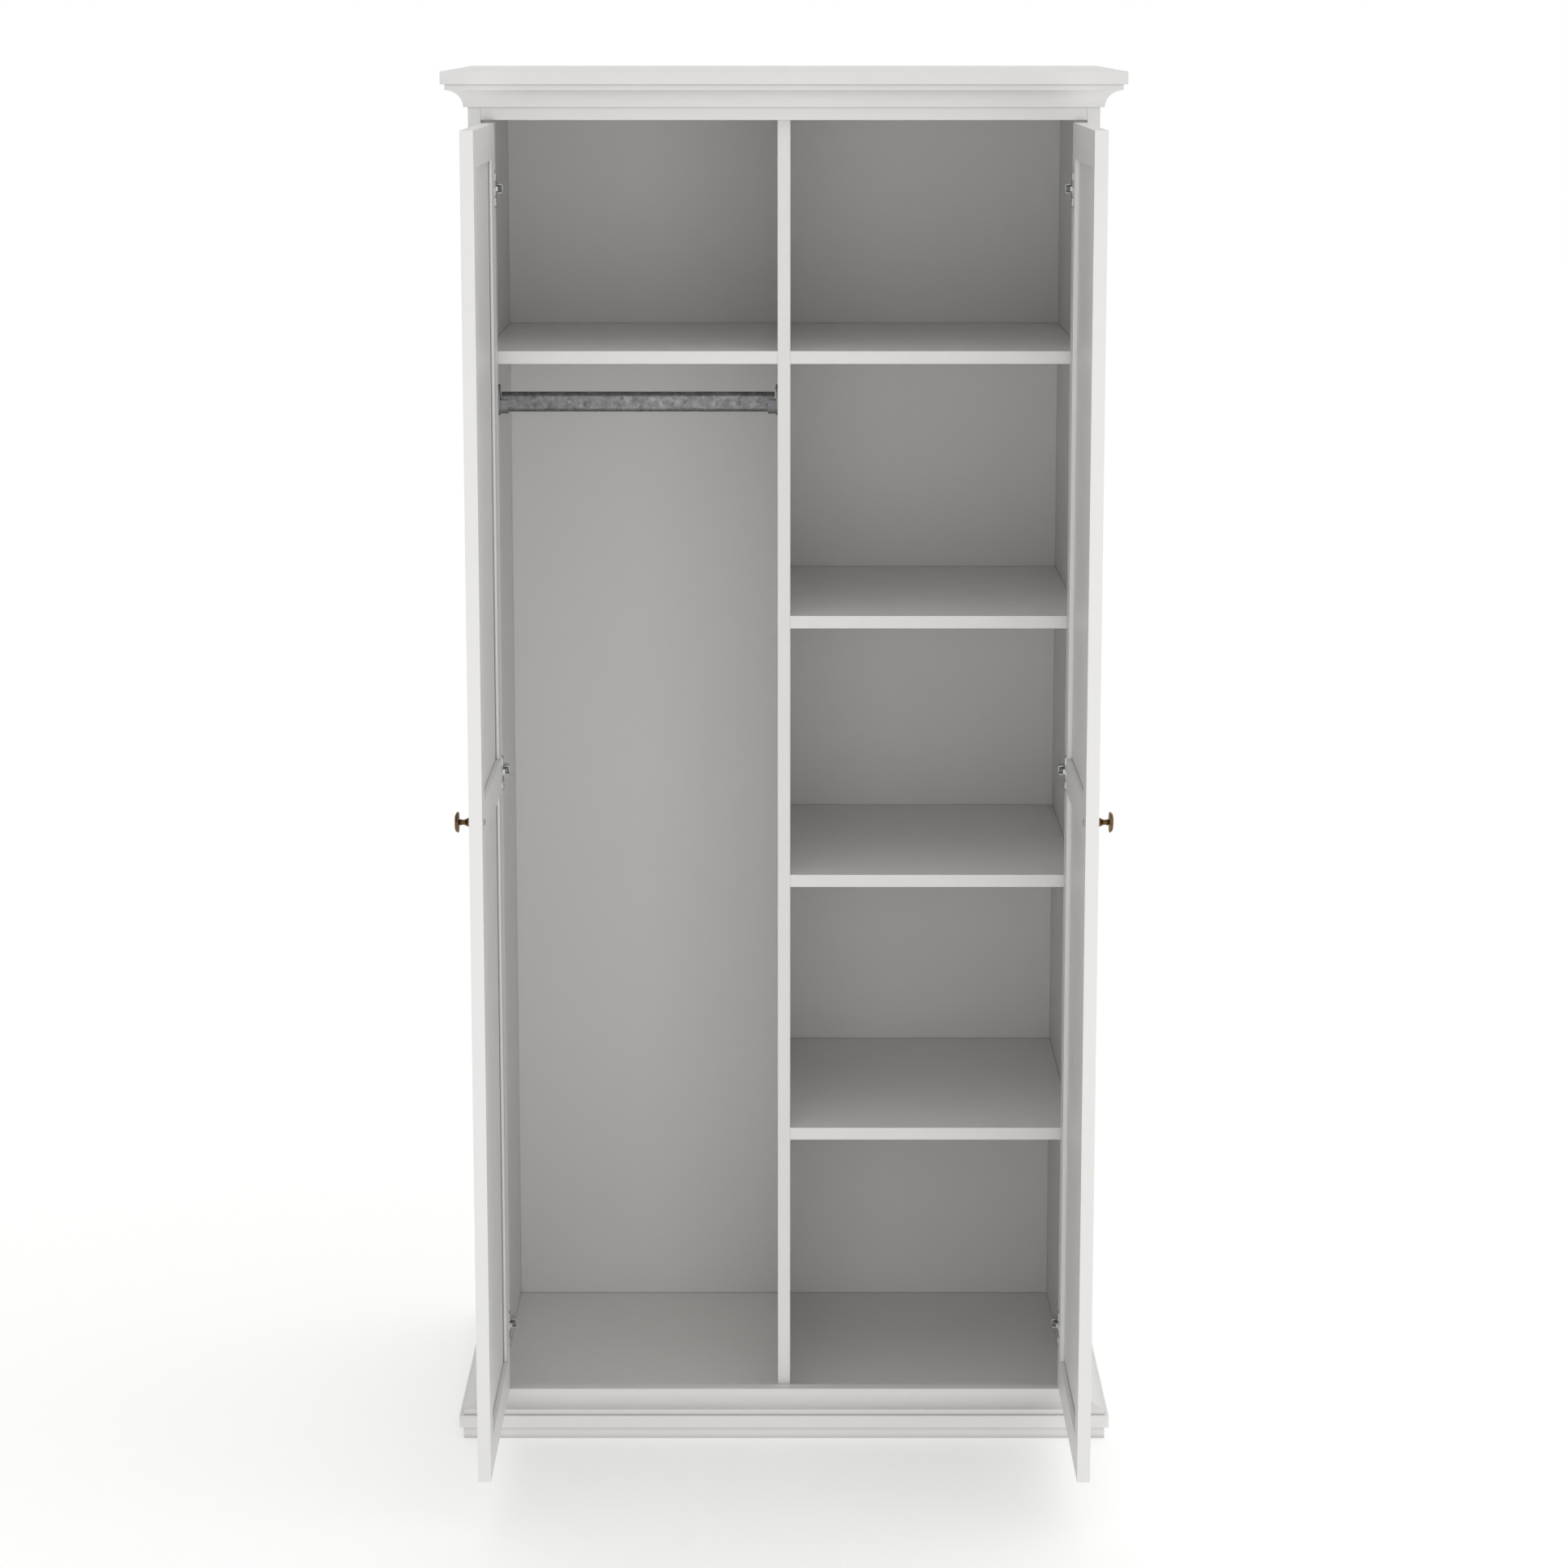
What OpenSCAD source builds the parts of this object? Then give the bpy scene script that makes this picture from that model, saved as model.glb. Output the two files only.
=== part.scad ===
// Two-door wardrobe, doors open at 90 degrees: hanging bay on the left, shelves on the right.
// +X right, +Y to the back, +Z up, floor at Z = 0. The box around the open wardrobe is centred on X and Y.

/* [Overall] */
// Width over the top board
cornice_w = 962; // [902:2:1102]
// Height, floor to the top of the top board
total_h = 2000; // [1920:5:2160]
// Depth of the top board, front edge to back edge
cornice_d = 612; // [560:2:680]
// How far the top and base boards stand out past the cabinet, at the front and both sides
overhang = 36; // [34:1:40]
// Thickness of the cabinet boards
board_t = 18; // [16:1:20]

/* [Moulding] */
// Height of the square fillet next to the board
fillet_h = 8; // [6:1:12]
// How far the fillet and the plinth sit back from the board edge
fillet_in = 6; // [4:1:8]
// Radius of the cove
cove_r = 24; // [20:1:24]
// Height of the plinth under the base board
plinth_h = 18; // [12:1:30]

/* [Inside] */
// Thickness of the rail above the doors and of the sill below them
rail_t = 16; // [14:1:18]
// Height of the top rail that shows below the moulding
rail_show = 18; // [12:1:30]
// Distance from the front of the cabinet back to the divider and the shelves
shelf_back = 21; // [21:1:30]
// Height of the lowest shelf's top above the base board's top
first_shelf = 425.5; // [380:0.5:460]
// Distance from one shelf top to the next
shelf_pitch = 381.4; // [340:0.2:382]
// Height of the clothes rail's centre below the top of the hanging bay's shelf
rod_drop = 97; // [85:1:140]

/* [Doors] */
// Door thickness
door_t = 18; // [17:0.5:19.5]
// How far the closed doors sit back from the front of the cabinet
door_setback = 1; // [0:0.5:1]
// Gap between a closed door and the side panel
side_gap = 2; // [2:0.5:3]
// Gap between the two closed doors
meeting_gap = 3; // [2:0.5:5]
// Gap above and below the doors
end_gap = 3; // [2:0.5:5]
// Width of the stiles and rails
frame_w = 50; // [48:1:60]
// Depth of the panel below the frame, on both faces
recess = 7; // [6:0.5:7]
// Distance of the outer hinges from the ends of the door
hinge_end = 93; // [80:1:120]
// Distance of the knob from the free edge
knob_in = 32; // [20:1:36]

/* [Hidden] */
$fn = 48;
fit = 0.1; // clearance around fasteners in their holes
cam_fit = 0.15;

back_t = 3;
carcass_hw = cornice_w / 2 - overhang;
inner_hw = carcass_hw - board_t;
board_back = cornice_d - overhang; // back edge of the top and base boards
panel_d = board_back - back_t - 4; // back edge of the side panels
base_z = plinth_h + board_t; // top of the base board
top_z = total_h - board_t; // underside of the top board
stack_h = fillet_h + cove_r;
sill_z = base_z + stack_h;
lintel_z = top_z - stack_h - rail_show;

// Doors: the pivot is where the concealed hinges turn the door, near its outer corner.
door_w = inner_hw - side_gap - meeting_gap / 2;
door_z = sill_z + end_gap;
door_h = lintel_z - end_gap - door_z;
edge_to_pivot = 3;
face_to_pivot = 3.5;
pivot_x = inner_hw - side_gap - edge_to_pivot;
pivot_y = door_setback + face_to_pivot;
door_out_x = pivot_x + face_to_pivot; // outer face of the open door
door_in_x = door_out_x - door_t;
hinge_y = pivot_y + edge_to_pivot; // hinge edge of the open door
free_y = hinge_y - door_w;
hinge_zs = [door_z + hinge_end, door_z + door_h / 2, door_z + door_h - hinge_end];
mid_z = door_z + door_h / 2;
panel_t = door_t - 2 * recess;
groove = 8;
knob_y = free_y + knob_in;

// Everything is drawn with the front of the cabinet at Y = 0, then moved back by this.
front_y = -(board_back + free_y) / 2;

// Shelves: [left end, right end, top, cam positions, dowel positions]
shelf_tops = [for (i = [0:3]) base_z + first_shelf + i * shelf_pitch];
shelf_end_gap = 0.25;
left_row = [-inner_hw, -board_t / 2, shelf_tops[3], [72, 476], [134, 412]];
right_rows = [for (z = shelf_tops) [board_t / 2, inner_hw, z, [104, 444], [166, 380]]];
all_rows = concat([left_row], right_rows);

// Fastener sizes
dowel_r = 4;
dowel_in = 18;
dowel_out = 11;
cam_r = 7.5;
cam_h = 12.5;
cam_back = 24;
bolt_r = 3;
bolt_thread_r = 2.5;
bolt_out = 11;
corner_dowel_ys = [110, 450];
corner_screw_ys = [56, 280, panel_d - 49];
upright_xs = [-(inner_hw + board_t / 2), 0, inner_hw + board_t / 2];
nail_xs = [-(inner_hw + board_t / 2 + 2), -board_t / 4, board_t / 4, inner_hw + board_t / 2 + 2];
nail_zs = [for (i = [0:9]) base_z + 50 + i * (top_z - base_z - 100) / 9];
nail_r = 0.8;
nail_l = 20;

// Clothes rail
rod_h = 30;
rod_d = 15;
rod_wall = 1.2;
rod_y = (shelf_back + panel_d) / 2;
rod_z = shelf_tops[3] - rod_drop;
socket_plate = 3;
socket_deep = 15;
socket_wall = 3;

// Concealed hinge, in the plan of the right-hand door
cup_r = 13;
cup_deep = 11;
cup_wall = 0.8;
cup_in = 17; // cup centre from the hinge edge
cup_y = hinge_y - cup_in;
pin_x = door_in_x + 3; // pin of the link in the cup
pin_y = hinge_y - 7.8;
pin_r = 1.2;
arm_x = pivot_x - 19.5; // end of the link in the arm
arm_y = pivot_y + 8;
arm_in_x = pivot_x - 23.5;
arm_h = 12.8;
arm_t = 1.4;
plate_t = 3;
plate_y = door_setback + door_t + 37;
plate_screw_z = 16;
flange_t = 2;
flange_h = 50;
flange_w = 16;
flange_screw_z = 20;
rim_r = 15; // round rim of the flange, around the cup
arm_gap_h = arm_h + 2.4; // opening in the rim for the arm

board_white = [0.86, 0.86, 0.85];
steel = [0.62, 0.62, 0.63];
zinc = [0.55, 0.56, 0.57];
bronze = [0.42, 0.31, 0.19];
beech = [0.78, 0.62, 0.42];

// ---- helpers ----

module placed() translate([0, front_y, 0]) children();

module on_side(s) if (s > 0) children(); else mirror([1, 0, 0]) children();

module box(low, high) translate(low) cube(high - low);

// A rod along X, from x0 to x1
module rod_x(x0, x1, r) translate([x0, 0, 0]) rotate([0, 90, 0]) cylinder(h = x1 - x0, r = r);

// Puts children at each fastener of a shelf: local +Z points out of the shelf's end.
module at_ends(row, set) {
    for (y = row[set]) {
        translate([row[0], y, row[2] - board_t / 2]) rotate([0, -90, 0]) children();
        translate([row[1], y, row[2] - board_t / 2]) rotate([0, 90, 0]) children();
    }
}

module at_cams(row) for (y = row[3], x = [row[0] + cam_back, row[1] - cam_back])
    translate([x, y, row[2] - board_t]) children();

module dowel(extra_r = 0, extra_l = 0) translate([0, 0, -dowel_in - extra_l])
    cylinder(h = dowel_in + dowel_out + 2 * extra_l, r = dowel_r + extra_r);

module cam_bolt(extra_r = 0, extra_l = 0) {
    translate([0, 0, -cam_back - extra_l]) cylinder(h = cam_back + extra_l, r = bolt_r + extra_r);
    translate([0, 0, -fit]) cylinder(h = bolt_out + extra_l + fit, r = bolt_thread_r + extra_r);
}

module shelf_cuts(row) {
    at_ends(row, 4) dowel(fit, 1);
    at_ends(row, 3) cam_bolt(fit, 1);
}

// Puts children where the uprights meet the top and base boards: local +Z points into the board.
module at_corners(ys, xs = upright_xs) for (x = xs, y = ys) {
    translate([x, y, base_z]) rotate([180, 0, 0]) children();
    translate([x, y, top_z]) children();
}

module corner_screw(extra = 0) {
    translate([0, 0, -34 - extra]) cylinder(h = 34.5 + extra, r = 2.5 + extra);
    cylinder(h = board_t - 4, r = 3.5 + extra);
    translate([0, 0, board_t - 4.5]) cylinder(h = 3.5 + extra, r = 5 + extra);
}

module corner_cuts(xs = upright_xs) {
    at_corners(corner_dowel_ys, xs) dowel(fit, 1);
    at_corners(corner_screw_ys, xs) corner_screw(fit);
}

module corner_head_cuts() at_corners(corner_screw_ys)
    translate([0, 0, board_t - 4.5 - fit]) cylinder(h = 6, r = 5 + fit);

module nail(extra = 0) rotate([90, 0, 0]) cylinder(h = nail_l + extra, r = nail_r + extra);

module at_nails(xs) for (x = xs, z = nail_zs) translate([x, panel_d + back_t, z]) children();

// ---- cabinet ----

module upright(x, y0, rows) color(board_white) placed() difference() {
    box([x - board_t / 2, y0, base_z], [x + board_t / 2, panel_d, top_z]);
    for (row = rows) shelf_cuts(row);
    corner_cuts([x]);
    at_nails([for (n = nail_xs) if (abs(n - x) < board_t / 2) n]) nail(fit);
    if (x != 0) {
        on_side(x) hinge_screws(fit);
        if (x < 0) socket_screws(fit);
    } else socket_screws(fit);
}

module left_side_panel() upright(upright_xs[0], 0, [left_row]);
module right_side_panel() upright(upright_xs[2], 0, right_rows);
module centre_divider() upright(0, shelf_back, all_rows);

module wide_board(z) box([-cornice_w / 2, -overhang, z], [cornice_w / 2, board_back, z + board_t]);

module cornice_board() color(board_white) placed() difference() {
    wide_board(top_z);
    corner_cuts();
    corner_head_cuts();
}

module base_board() color(board_white) placed() difference() {
    wide_board(plinth_h);
    corner_cuts();
    corner_head_cuts();
}

module top_front_rail() color(board_white) placed()
    box([-inner_hw, 0, lintel_z], [inner_hw, rail_t, top_z]);

module bottom_front_sill() color(board_white) placed()
    box([-inner_hw, 0, base_z], [inner_hw, rail_t, sill_z]);

module shelf(row) color(board_white) placed() difference() {
    box([row[0] + shelf_end_gap, shelf_back, row[2] - board_t],
        [row[1] - shelf_end_gap, panel_d - 1, row[2]]);
    shelf_cuts(row);
    at_cams(row) translate([0, 0, -1]) cylinder(h = cam_h + 1 + fit, r = cam_r + cam_fit);
}

module hanging_bay_shelf() shelf(left_row);
module right_shelf_top() shelf(right_rows[3]);
module right_shelf_upper() shelf(right_rows[2]);
module right_shelf_lower() shelf(right_rows[1]);
module right_shelf_bottom() shelf(right_rows[0]);

module back_half(s) color(board_white) placed() difference() {
    on_side(s) box([0.25, panel_d, base_z + 0.5], [carcass_hw - 3, panel_d + back_t, top_z - 0.5]);
    at_nails([for (x = nail_xs) if (x * s > 0) x]) nail(fit);
}

module left_back_panel() back_half(-1);
module right_back_panel() back_half(1);

// ---- mouldings: X is the distance out from the cabinet, Y the distance from the board ----

fillet_out = overhang - fillet_in;

module moulding_profile() difference() {
    square([fillet_out, stack_h]);
    translate([fillet_out, stack_h]) circle(r = cove_r, $fn = 96);
    translate([fillet_out, fillet_h]) square([1, stack_h]);
}

// Along the front, between the outer mitres; up = 1 for the base, -1 under the top board
module front_moulding(z, up) color(board_white) placed() difference() {
    translate([-carcass_hw - fillet_out, 0, z]) mirror([0, 0, up < 0 ? 1 : 0])
        rotate([90, 0, 90]) mirror([1, 0, 0])
            linear_extrude(height = 2 * (carcass_hw + fillet_out)) moulding_profile();
    for (s = [-1, 1]) on_side(s) mitre_cut(z);
}

// Takes away what lies outside the 45 degree mitre of the front piece
module mitre_cut(z) translate([carcass_hw, 0, z - 2 * stack_h]) linear_extrude(height = 4 * stack_h)
    polygon([[0, 0], [overhang * 2, -overhang * 2], [overhang * 2, overhang], [0, overhang]]);

module side_moulding(s, z, up) color(board_white) placed() on_side(s) difference() {
    translate([carcass_hw, panel_d + back_t, z]) mirror([0, 0, up < 0 ? 1 : 0])
        rotate([90, 0, 0]) linear_extrude(height = panel_d + back_t + fillet_out) moulding_profile();
    translate([carcass_hw, 0, z - 2 * stack_h]) linear_extrude(height = 4 * stack_h)
        polygon([[0, 0], [overhang * 2, -overhang * 2], [0, -overhang * 2]]);
}

module cornice_cove_front() front_moulding(top_z, -1);
module cornice_cove_left() side_moulding(-1, top_z, -1);
module cornice_cove_right() side_moulding(1, top_z, -1);
module base_cove_front() front_moulding(base_z, 1);
module base_cove_left() side_moulding(-1, base_z, 1);
module base_cove_right() side_moulding(1, base_z, 1);

// ---- plinth: a mitred front with plain sides and back ----

plinth_out = carcass_hw + overhang - fillet_in;
plinth_front_y = -overhang + fillet_in;
plinth_back_y = board_back - 20;

module plinth_front() color(board_white) placed() linear_extrude(height = plinth_h)
    polygon([[-plinth_out, plinth_front_y], [plinth_out, plinth_front_y],
        [plinth_out - board_t, plinth_front_y + board_t],
        [-plinth_out + board_t, plinth_front_y + board_t]]);

module plinth_side(s) color(board_white) placed() on_side(s) linear_extrude(height = plinth_h)
    polygon([[plinth_out, plinth_front_y], [plinth_out, plinth_back_y],
        [plinth_out - board_t, plinth_back_y], [plinth_out - board_t, plinth_front_y + board_t]]);

module plinth_left() plinth_side(-1);
module plinth_right() plinth_side(1);
module plinth_back() color(board_white) placed() box([-plinth_out + board_t, plinth_back_y - board_t, 0],
    [plinth_out - board_t, plinth_back_y, plinth_h]);

// ---- clothes rail: a flat oval tube held in two open-topped sockets ----

rod_x0 = -inner_hw + socket_plate + 2;
rod_x1 = -board_t / 2 - socket_plate - 2;

// Stands the profile's X along +Y and its Y along +Z, and extrudes between the two X positions
module along_x(xa, xb) translate([min(xa, xb), rod_y, rod_z]) rotate([90, 0, 90])
    linear_extrude(height = abs(xb - xa)) children();

module oval(h, w) {
    for (s = [-1, 1]) translate([0, s * (h - w) / 2]) circle(d = w);
    square([w, h - w], center = true);
}

module clothes_rail() color(zinc) placed() along_x(rod_x0, rod_x1) difference() {
    oval(rod_h, rod_d);
    oval(rod_h - 2 * rod_wall, rod_d - 2 * rod_wall);
}

socket_bore_r = rod_d / 2 + fit;
socket_low = (rod_h - rod_d) / 2; // the bore's round bottom is this far below the rail's centre
socket_top = 3;
plate_top = 26;
plate_bottom = 20;
plate_r = 12;

module socket_cup_profile() difference() {
    union() {
        translate([0, -socket_low]) circle(r = socket_bore_r + socket_wall);
        translate([-socket_bore_r - socket_wall, -socket_low])
            square([2 * (socket_bore_r + socket_wall), socket_low + socket_top]);
    }
    translate([0, -socket_low]) circle(r = socket_bore_r);
    translate([-socket_bore_r, -socket_low]) square([2 * socket_bore_r, socket_low + socket_top + 1]);
}

module socket_plate_profile() {
    translate([0, plate_top - plate_r]) circle(r = plate_r);
    translate([0, plate_r - plate_bottom]) circle(r = plate_r);
    translate([-plate_r, plate_r - plate_bottom])
        square([2 * plate_r, plate_top + plate_bottom - 2 * plate_r]);
}

module rail_sockets() color(zinc) placed() difference() {
    for (end = [0, 1]) {
        wall = end == 0 ? -inner_hw : -board_t / 2;
        away = end == 0 ? 1 : -1;
        along_x(wall, wall + away * socket_plate) socket_plate_profile();
        along_x(wall + away * socket_plate, wall + away * socket_deep) socket_cup_profile();
    }
    socket_screws(fit);
}

// One screw above the rail and one inside its end, at both sockets
module socket_screws(extra = 0) for (z = [20.5, -9]) translate([0, rod_y, rod_z + z]) {
    rod_x(-inner_hw - 12 - extra, -inner_hw + socket_plate, 1.7 + extra);
    rod_x(-inner_hw + socket_plate, -inner_hw + socket_plate + 1.2, 3 + extra);
    rod_x(-board_t / 2 - socket_plate, -board_t / 2 + 12 + extra, 1.7 + extra);
    rod_x(-board_t / 2 - socket_plate - 1.2, -board_t / 2 - socket_plate, 3 + extra);
}

module rail_socket_screws() color(steel) placed() socket_screws();

// ---- hardware inside the boards ----

module dowels() color(beech) placed() {
    for (row = all_rows) at_ends(row, 4) dowel();
    at_corners(corner_dowel_ys) dowel();
}

module shelf_cams() color(zinc) placed() difference() {
    for (row = all_rows) at_cams(row) cylinder(h = cam_h, r = cam_r);
    for (row = all_rows) at_ends(row, 3) cam_bolt(fit, 1);
}

module shelf_cam_bolts() color(steel) placed() for (row = all_rows) at_ends(row, 3) cam_bolt();

module corner_screws() color(steel) placed() at_corners(corner_screw_ys) corner_screw();

module back_panel_nails() color(steel) placed() at_nails(nail_xs) {
    nail();
    translate([0, 0.8, 0]) rotate([90, 0, 0]) cylinder(h = 0.8, r = 2);
}

// ---- concealed hinges, drawn for the right-hand door ----

arm_foot_x = inner_hw - plate_t;
arm_back_y = plate_y + 36;
arm_waist_x = arm_foot_x - 10;

module arm_outline() polygon([[arm_in_x, pivot_y + 5.5], [arm_in_x + 8.5, pivot_y + 5.5],
    [pivot_x - 12.5, pivot_y + 15.5], [arm_foot_x, pivot_y + 29.5], [arm_foot_x, arm_back_y],
    [arm_waist_x, arm_back_y], [arm_waist_x, pivot_y + 38], [arm_in_x, pivot_y + 22]]);

// The arm is a channel, open towards the side panel, and a fork at its front end
module arm_pocket() polygon([[arm_in_x - 1, pivot_y + 5], [arm_in_x + 9, pivot_y + 5],
    [pivot_x - 12, pivot_y + 15], [arm_foot_x + 1, pivot_y + 29], [arm_foot_x + 1, arm_back_y + 1],
    [arm_waist_x + arm_t, arm_back_y + 1], [arm_waist_x + arm_t, pivot_y + 37.4],
    [arm_in_x + arm_t, pivot_y + 21.4], [arm_in_x + arm_t, pivot_y + 14.5], [arm_in_x - 1, pivot_y + 14.5]]);

module hinge_arm() difference() {
    union() {
        translate([0, 0, -arm_h / 2]) linear_extrude(height = arm_h) arm_outline();
        translate([arm_x, arm_y, -arm_h / 2 - 0.6]) cylinder(h = arm_h + 1.2, r = 2.2);
    }
    translate([0, 0, -arm_h / 2 + arm_t]) linear_extrude(height = arm_h - 2 * arm_t) arm_pocket();
    translate([0, plate_y + 20, 0]) rod_x(arm_waist_x - 1, arm_foot_x + 1, 2 + fit);
}

module hinge_plate() difference() {
    union() {
        translate([arm_foot_x, plate_y - 14, -arm_h / 2]) cube([plate_t, 50, arm_h]);
        translate([arm_foot_x + plate_t / 2, plate_y, 0])
            cube([plate_t, 14, 2 * plate_screw_z], center = true);
        for (s = [-1, 1]) translate([0, plate_y, s * plate_screw_z]) rod_x(arm_foot_x, inner_hw, 7);
    }
    hinge_plate_screw_set(fit);
}

module hinge_plate_screw_set(extra = 0) {
    for (s = [-1, 1]) translate([0, plate_y, s * plate_screw_z]) {
        rod_x(arm_foot_x, inner_hw + 12 + extra, 1.75 + extra);
        rod_x(arm_foot_x - 1.8, arm_foot_x, 3.5 + extra);
    }
    translate([0, plate_y + 20, 0]) {
        rod_x(arm_waist_x, arm_foot_x + plate_t - 0.5, 2 + extra);
        rod_x(arm_waist_x - 1.5, arm_waist_x, 3.2 + extra);
    }
}

module hinge_screws(extra = 0) for (z = hinge_zs) translate([0, 0, z]) hinge_plate_screw_set(extra);

module both_sides() for (s = [-1, 1], z = hinge_zs) on_side(s) translate([0, 0, z]) children();

module hinge_plates() color(steel) placed() both_sides() hinge_plate();
module hinge_arms() color(steel) placed() both_sides() hinge_arm();
module hinge_plate_screws() color(steel) placed() both_sides() hinge_plate_screw_set();

link_w = 2.4;
link_h = 7;
knee = [pin_x - 5.5, pin_y + 0.5];

// A straight bar with round ends, in plan
module bar(a, b) {
    run = b - a;
    for (p = [a, b]) translate(p) circle(d = link_w);
    translate(a) rotate(atan2(run[1], run[0])) translate([0, -link_w / 2]) square([norm(run), link_w]);
}

module hinge_link() difference() {
    translate([0, 0, -link_h / 2]) linear_extrude(height = link_h) {
        bar([pin_x, pin_y], knee);
        bar(knee, [arm_x, arm_y]);
        translate([pin_x, pin_y]) circle(r = 2.3);
        translate([arm_x, arm_y]) circle(r = 1.8);
    }
    translate([pin_x, pin_y, -link_h]) cylinder(h = 2 * link_h, r = pin_r + fit);
}

module hinge_links(s) color(steel) placed() on_side(s) for (z = hinge_zs) translate([0, 0, z]) hinge_link();
module left_hinge_links() hinge_links(-1);
module right_hinge_links() hinge_links(1);

module flange_screw(extra = 0) for (s = [-1, 1]) translate([0, cup_y, s * flange_screw_z]) {
    rod_x(door_in_x - flange_t, door_in_x + 12 + extra, 1.6 + extra);
    rod_x(door_in_x - flange_t - 1.2, door_in_x - flange_t, 3.2 + extra);
}

// A plate with two ears and a round rim, which is open where the arm and the link pass
module cup_flange() difference() {
    union() {
        translate([door_in_x - flange_t, cup_y - flange_w / 2, -flange_h / 2 + 4])
            cube([flange_t, flange_w, flange_h - 8]);
        for (y = [-4, 4], z = [-1, 1]) translate([0, cup_y + y, z * (flange_h / 2 - 4)])
            rod_x(door_in_x - flange_t, door_in_x, 4);
        translate([door_in_x - flange_t, cup_y - 4, -flange_h / 2]) cube([flange_t, 8, flange_h]);
        translate([0, cup_y, 0]) rod_x(door_in_x - flange_t, door_in_x, rim_r);
    }
    translate([door_in_x - flange_t - 1, cup_y, -arm_gap_h / 2]) cube([flange_t + 1, rim_r + 1, arm_gap_h]);
}

module hinge_cup() {
    difference() {
        union() {
            translate([0, cup_y, 0]) rod_x(door_in_x, door_in_x + cup_deep, cup_r);
            cup_flange();
        }
        translate([0, cup_y, 0])
            rod_x(door_in_x - flange_t - 1, door_in_x + cup_deep - cup_wall, cup_r - cup_wall);
        flange_screw(fit);
    }
    translate([pin_x, pin_y, -8.3]) cylinder(h = 16.6, r = pin_r);
}

module hinge_cups(s) color(steel) placed() on_side(s) for (z = hinge_zs) translate([0, 0, z]) hinge_cup();
module left_hinge_cups() hinge_cups(-1);
module right_hinge_cups() hinge_cups(1);

module cup_screws(s) color(steel) placed() on_side(s) for (z = hinge_zs) translate([0, 0, z]) flange_screw();
module left_cup_screws() cup_screws(-1);
module right_cup_screws() cup_screws(1);

// ---- doors, drawn for the right-hand one, open at 90 degrees ----

panel_x = door_in_x + recess;
rail_y0 = free_y + frame_w;
rail_y1 = hinge_y - frame_w;
rail_zs = [door_z, mid_z - frame_w / 2, door_z + door_h - frame_w];

module hinge_stile(s) color(board_white) placed() on_side(s) difference() {
    box([door_in_x, rail_y1, door_z], [door_out_x, hinge_y, door_z + door_h]);
    box([panel_x, rail_y1 - 1, door_z - 1], [panel_x + panel_t, rail_y1 + groove, door_z + door_h + 1]);
    for (z = hinge_zs) translate([0, 0, z]) {
        translate([0, cup_y, 0]) rod_x(door_in_x - 1, door_in_x + cup_deep, cup_r);
        flange_screw(fit);
    }
}

module knob_stile(s) color(board_white) placed() on_side(s) difference() {
    box([door_in_x, free_y, door_z], [door_out_x, rail_y0, door_z + door_h]);
    box([panel_x, rail_y0 - groove, door_z - 1], [panel_x + panel_t, rail_y0 + 1, door_z + door_h + 1]);
    knob_screw(fit);
}

// low and high say on which edges the rail takes a panel
module door_rail(s, z, low, high) color(board_white) placed() on_side(s) difference() {
    union() {
        box([door_in_x, rail_y0, z], [door_out_x, rail_y1, z + frame_w]);
        box([panel_x, rail_y0 - groove, z + low * groove],
            [panel_x + panel_t, rail_y1 + groove, z + frame_w - high * groove]);
    }
    if (low) box([panel_x, rail_y0 - 1, z - 1], [panel_x + panel_t, rail_y1 + 1, z + groove]);
    if (high) box([panel_x, rail_y0 - 1, z + frame_w - groove],
        [panel_x + panel_t, rail_y1 + 1, z + frame_w + 1]);
}

module door_panel(s, i) color(board_white) placed() on_side(s)
    box([panel_x, rail_y0 - groove, rail_zs[i] + frame_w - groove],
        [panel_x + panel_t, rail_y1 + groove, rail_zs[i + 1] + groove]);

module left_hinge_stile() hinge_stile(-1);
module left_knob_stile() knob_stile(-1);
module left_door_top_rail() door_rail(-1, rail_zs[2], 1, 0);
module left_door_middle_rail() door_rail(-1, rail_zs[1], 1, 1);
module left_door_bottom_rail() door_rail(-1, rail_zs[0], 0, 1);
module left_upper_panel() door_panel(-1, 1);
module left_lower_panel() door_panel(-1, 0);
module right_hinge_stile() hinge_stile(1);
module right_knob_stile() knob_stile(1);
module right_door_top_rail() door_rail(1, rail_zs[2], 1, 0);
module right_door_middle_rail() door_rail(1, rail_zs[1], 1, 1);
module right_door_bottom_rail() door_rail(1, rail_zs[0], 0, 1);
module right_upper_panel() door_panel(1, 1);
module right_lower_panel() door_panel(1, 0);

// ---- knobs ----

// Half of the knob's section, [radius, distance from the door]: flared foot, neck with a bead, head
knob_r = 14.5;
knob_profile = [[0, 0], [6.4, 0], [6.4, 2.6], [6, 3.8], [4.9, 5.5], [3.9, 7.5], [3.5, 9.9], [3.5, 11.5],
    [4.1, 12.5], [4.1, 13.9], [3.7, 15], [6, 15.8], [knob_r - 0.5, 15.9], [knob_r, 16.5],
    [knob_r - 0.1, 17.5], [knob_r - 1.9, 20.1], [knob_r - 4, 21.1], [6, 21.6], [0, 21.7]];

module knob_screw(extra = 0) translate([0, knob_y, mid_z]) {
    rod_x(door_in_x - 0.5, door_out_x + 12 + extra, 1.9 + extra);
    rod_x(door_in_x - 2, door_in_x, 4.75);
}

module knob(s) color(bronze) placed() on_side(s) difference() {
    translate([door_out_x, knob_y, mid_z]) rotate([0, 90, 0]) rotate_extrude($fn = 64) polygon(knob_profile);
    knob_screw(fit);
}

module left_knob() knob(-1);
module right_knob() knob(1);
module left_knob_screw() color(steel) placed() on_side(-1) knob_screw();
module right_knob_screw() color(steel) placed() on_side(1) knob_screw();

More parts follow.
